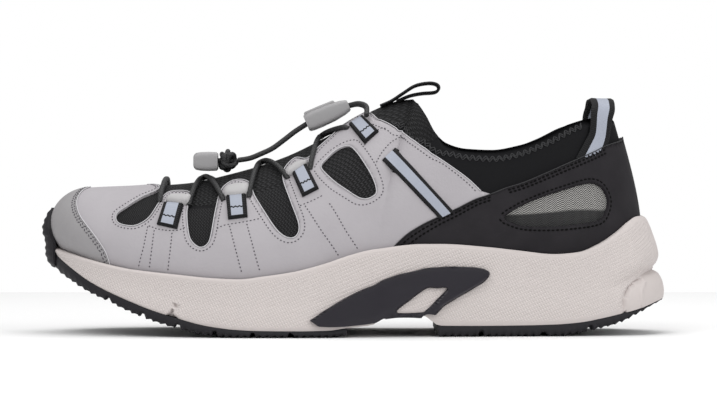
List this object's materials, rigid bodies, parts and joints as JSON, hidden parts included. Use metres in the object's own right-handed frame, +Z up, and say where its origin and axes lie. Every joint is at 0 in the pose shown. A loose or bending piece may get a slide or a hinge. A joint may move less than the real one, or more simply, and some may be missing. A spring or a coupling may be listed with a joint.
{
  "type": "diabetic walking shoe",
  "caption": "Left extra-depth walking shoe with a foam bowl sole, mesh sock, grey leather skin, arch bridge and elastic lace with a cord lock.",
  "frame": {"origin": "middle of the shoe's box on the ground, under the arch", "axes": "+Z up, -X towards the toe, +X towards the heel, -Y the outer side of this left shoe, +Y its inner side"},
  "size_m": [0.3052, 0.1104, 0.123],
  "materials": {
    "grey_leather": "matt grey leather with a fine pebble grain",
    "cap_leather": "matt darker grey leather with a fine grain",
    "black_leather": "matt black nubuck-like leather",
    "black_mesh": "black open spacer mesh and soft black lining",
    "foam": "matt off-white moulded foam",
    "shank_plastic": "satin near-black plastic",
    "black_rubber": "matt black tread rubber",
    "grey_webbing": "black webbing with a pale blue-grey middle",
    "black_webbing": "black ribbed webbing",
    "tab_rubber": "matt grey moulded rubber",
    "lace_cord": "black braided elastic cord",
    "grey_plastic": "matt grey moulded plastic",
    "insole_cloth": "dark knitted top cloth on foam"
  },
  "bodies": {
    "root": {"upper": "black_mesh", "tongue": "black_mesh", "quarter": "grey_leather", "toe_cap": "cap_leather", "heel_counter": "black_leather", "midsole": "foam", "insole": "insole_cloth", "outsole_front": "black_rubber", "outsole_heel": "black_rubber", "toe_bumper": "black_rubber", "shank": "shank_plastic", "tongue_loop": "black_webbing", "heel_loop": "grey_webbing", "cord_lock": "grey_plastic", "lace_tag": "grey_plastic", "lace_knot": "lace_cord", "lace_bar": "lace_cord", "lace_cross_1": "lace_cord", "lace_cross_2": "lace_cord", "lace_cross_3": "lace_cord", "lace_rise_outer": "lace_cord", "lace_end_outer": "lace_cord", "side_stripe_outer": "grey_webbing", "lace_loop_outer_1": "grey_webbing", "lace_loop_outer_2": "grey_webbing", "lace_loop_outer_3": "grey_webbing", "lace_loop_outer_4": "grey_webbing", "lace_tab_outer_1": "tab_rubber", "lace_tab_outer_2": "tab_rubber", "lace_tab_outer_3": "tab_rubber", "lace_rise_inner": "lace_cord", "lace_end_inner": "lace_cord", "side_stripe_inner": "grey_webbing", "lace_loop_inner_1": "grey_webbing", "lace_loop_inner_2": "grey_webbing", "lace_loop_inner_3": "grey_webbing", "lace_loop_inner_4": "grey_webbing", "lace_tab_inner_1": "tab_rubber", "lace_tab_inner_2": "tab_rubber", "lace_tab_inner_3": "tab_rubber"}
  },
  "joints": []
}
